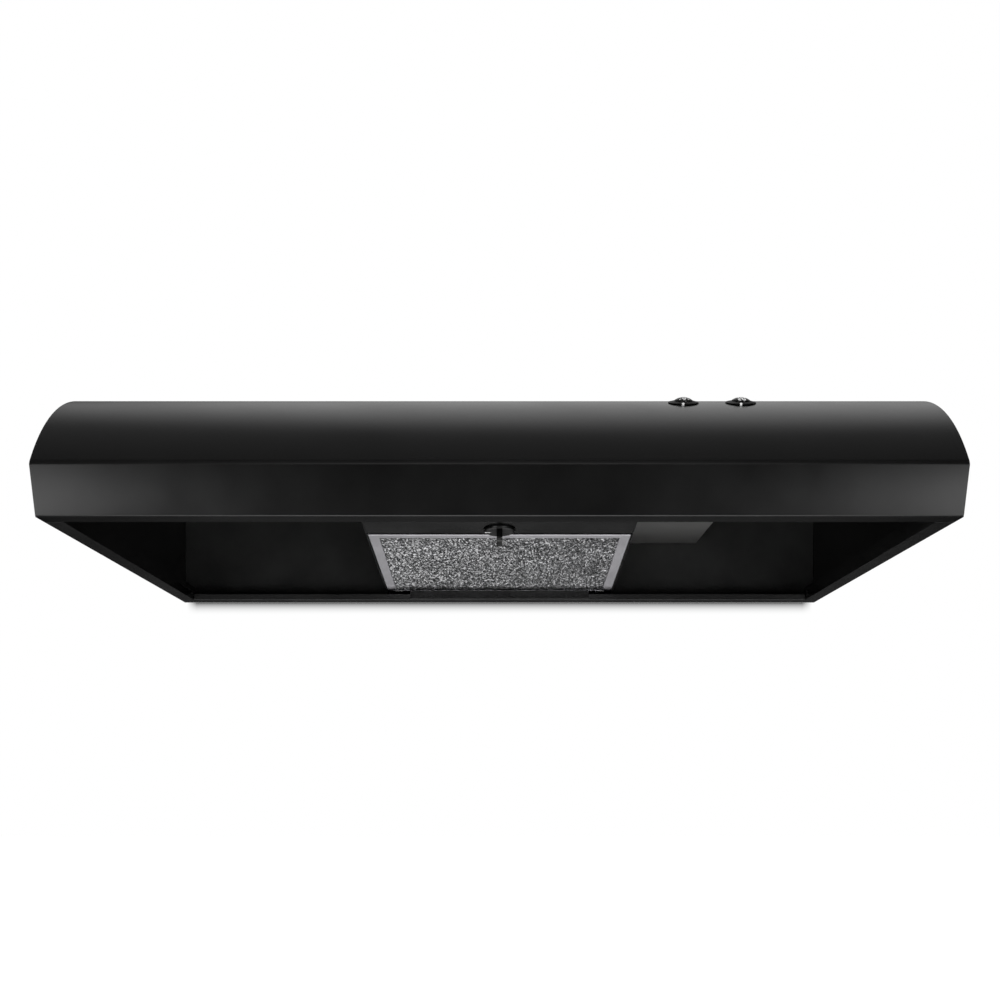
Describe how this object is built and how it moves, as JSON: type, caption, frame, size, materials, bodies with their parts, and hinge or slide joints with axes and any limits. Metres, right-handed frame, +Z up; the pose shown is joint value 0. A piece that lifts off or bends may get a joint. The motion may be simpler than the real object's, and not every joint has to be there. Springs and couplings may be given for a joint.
{
  "type": "under cabinet range hood",
  "caption": "Under cabinet range hood: a black sheet-steel shell with a curved front, centrifugal blower, tilting grease filter, lamp with drop-down lens and top duct collar.",
  "frame": {"origin": "middle of the rear edge of the top face, where cabinet and wall meet", "axes": "+X to the right as seen from the front, +Y into the wall, +Z up into the cabinet"},
  "size_m": [0.76, 0.505, 0.171],
  "materials": {
    "shell_enamel": "gloss black enamel on sheet steel",
    "galvanised_steel": "galvanised sheet steel",
    "spring_steel": "bright spring steel",
    "plated_steel": "zinc plated steel",
    "filter_rim": "mill finish aluminium channel",
    "filter_weave": "crinkled expanded aluminium mesh",
    "latch_plastic": "gloss black moulded plastic",
    "knob_plastic": "gloss black moulded plastic",
    "bezel_plastic": "gloss black moulded plastic",
    "switch_plastic": "dark moulded thermoset",
    "rubber": "black rubber",
    "motor_steel": "grey painted motor can",
    "damper_aluminium": "thin aluminium sheet",
    "reflector_aluminium": "bright aluminium sheet",
    "socket_ceramic": "white glazed ceramic",
    "bulb_cap": "rolled aluminium screw cap",
    "bulb_frosted_glass": "frosted glass",
    "lens_opal": "opal moulded plastic",
    "ground_green": "green ground screw",
    "lead_insulation": "dark wire insulation",
    "connector_plastic": "yellow twist-on connector shells"
  },
  "bodies": {
    "hood": {"canopy_top": "shell_enamel", "canopy_front": "shell_enamel", "side_panel_left": "shell_enamel", "side_panel_right": "shell_enamel", "rear_panel": "shell_enamel", "blower_box": "shell_enamel", "latch_strip": "shell_enamel", "filter_ledge": "shell_enamel", "filter_springs": "spring_steel", "strip_screws": "plated_steel", "latch_washer": "spring_steel", "orifice_plate": "galvanised_steel", "orifice_screws": "plated_steel", "scroll_housing": "galvanised_steel", "chamber_walls": "galvanised_steel", "motor_bracket": "galvanised_steel", "motor_grommets": "rubber", "motor_body": "motor_steel", "motor_bolts": "plated_steel", "duct_connector": "galvanised_steel", "connector_screws": "plated_steel", "duct_seal": "rubber", "lamp_housing": "shell_enamel", "lamp_reflector": "reflector_aluminium", "socket_bracket": "galvanised_steel", "bracket_screws": "plated_steel", "lamp_socket": "socket_ceramic", "bulb_base": "bulb_cap", "bulb_glass": "bulb_frosted_glass", "lens_catch": "spring_steel", "wiring_box": "shell_enamel", "wiring_cover": "shell_enamel", "wiring_cover_screws": "plated_steel", "ground_screw": "ground_green", "light_switch": "switch_plastic", "fan_switch": "switch_plastic", "switch_nuts": "plated_steel", "knob_bezels": "bezel_plastic", "capacitor": "reflector_aluminium", "capacitor_strap": "galvanised_steel", "wire_grommets": "rubber", "lamp_leads": "lead_insulation", "motor_leads": "lead_insulation", "switch_leads": "lead_insulation", "wire_connectors": "connector_plastic"},
    "light_knob": {"light_knob": "knob_plastic"},
    "fan_knob": {"fan_knob": "knob_plastic"},
    "filter_latch": {"filter_latch": "latch_plastic", "latch_push_nut": "spring_steel"},
    "filter": {"filter_frame": "filter_rim", "filter_mesh": "filter_weave"},
    "blower_wheel": {"blower_wheel": "galvanised_steel", "wheel_dish": "galvanised_steel", "wheel_hub": "galvanised_steel", "motor_shaft": "plated_steel", "wheel_nut": "plated_steel"},
    "damper": {"damper_flap": "damper_aluminium", "damper_rod": "plated_steel", "damper_rod_caps": "rubber"},
    "lamp_lens": {"lamp_lens": "lens_opal"}
  },
  "joints": [
    {"name": "light_knob_turn", "type": "hinge", "parent": "hood", "child": "light_knob", "pos_m": [0.1612, -0.41693, -0.01757], "axis": [0, 0.4067, -0.9135], "range_deg": [0, 90]},
    {"name": "fan_knob_turn", "type": "hinge", "parent": "hood", "child": "fan_knob", "pos_m": [0.2115, -0.41693, -0.01757], "axis": [0, 0.4067, -0.9135], "range_deg": [0, 135]},
    {"name": "latch_turn", "type": "hinge", "parent": "hood", "child": "filter_latch", "pos_m": [-0.009, -0.27241, -0.09895], "axis": [0, 0.0929, 0.9957], "range_deg": [0, 90]},
    {"name": "filter_tilt", "type": "hinge", "parent": "hood", "child": "filter", "pos_m": [0, -0.02648, -0.12189], "axis": [1, 0, 0], "range_deg": [0, 60]},
    {"name": "blower_spin", "type": "hinge", "parent": "hood", "child": "blower_wheel", "pos_m": [0, -0.2, -0.045], "axis": [0, 0, 1], "continuous": true},
    {"name": "damper_swing", "type": "hinge", "parent": "hood", "child": "damper", "pos_m": [0, -0.0215, 0.014], "axis": [-1, 0, 0], "range_deg": [0, 75]},
    {"name": "lens_swing", "type": "hinge", "parent": "hood", "child": "lamp_lens", "pos_m": [0.141, -0.118, -0.0612], "axis": [0, 1, 0], "range_deg": [0, 40]}
  ]
}
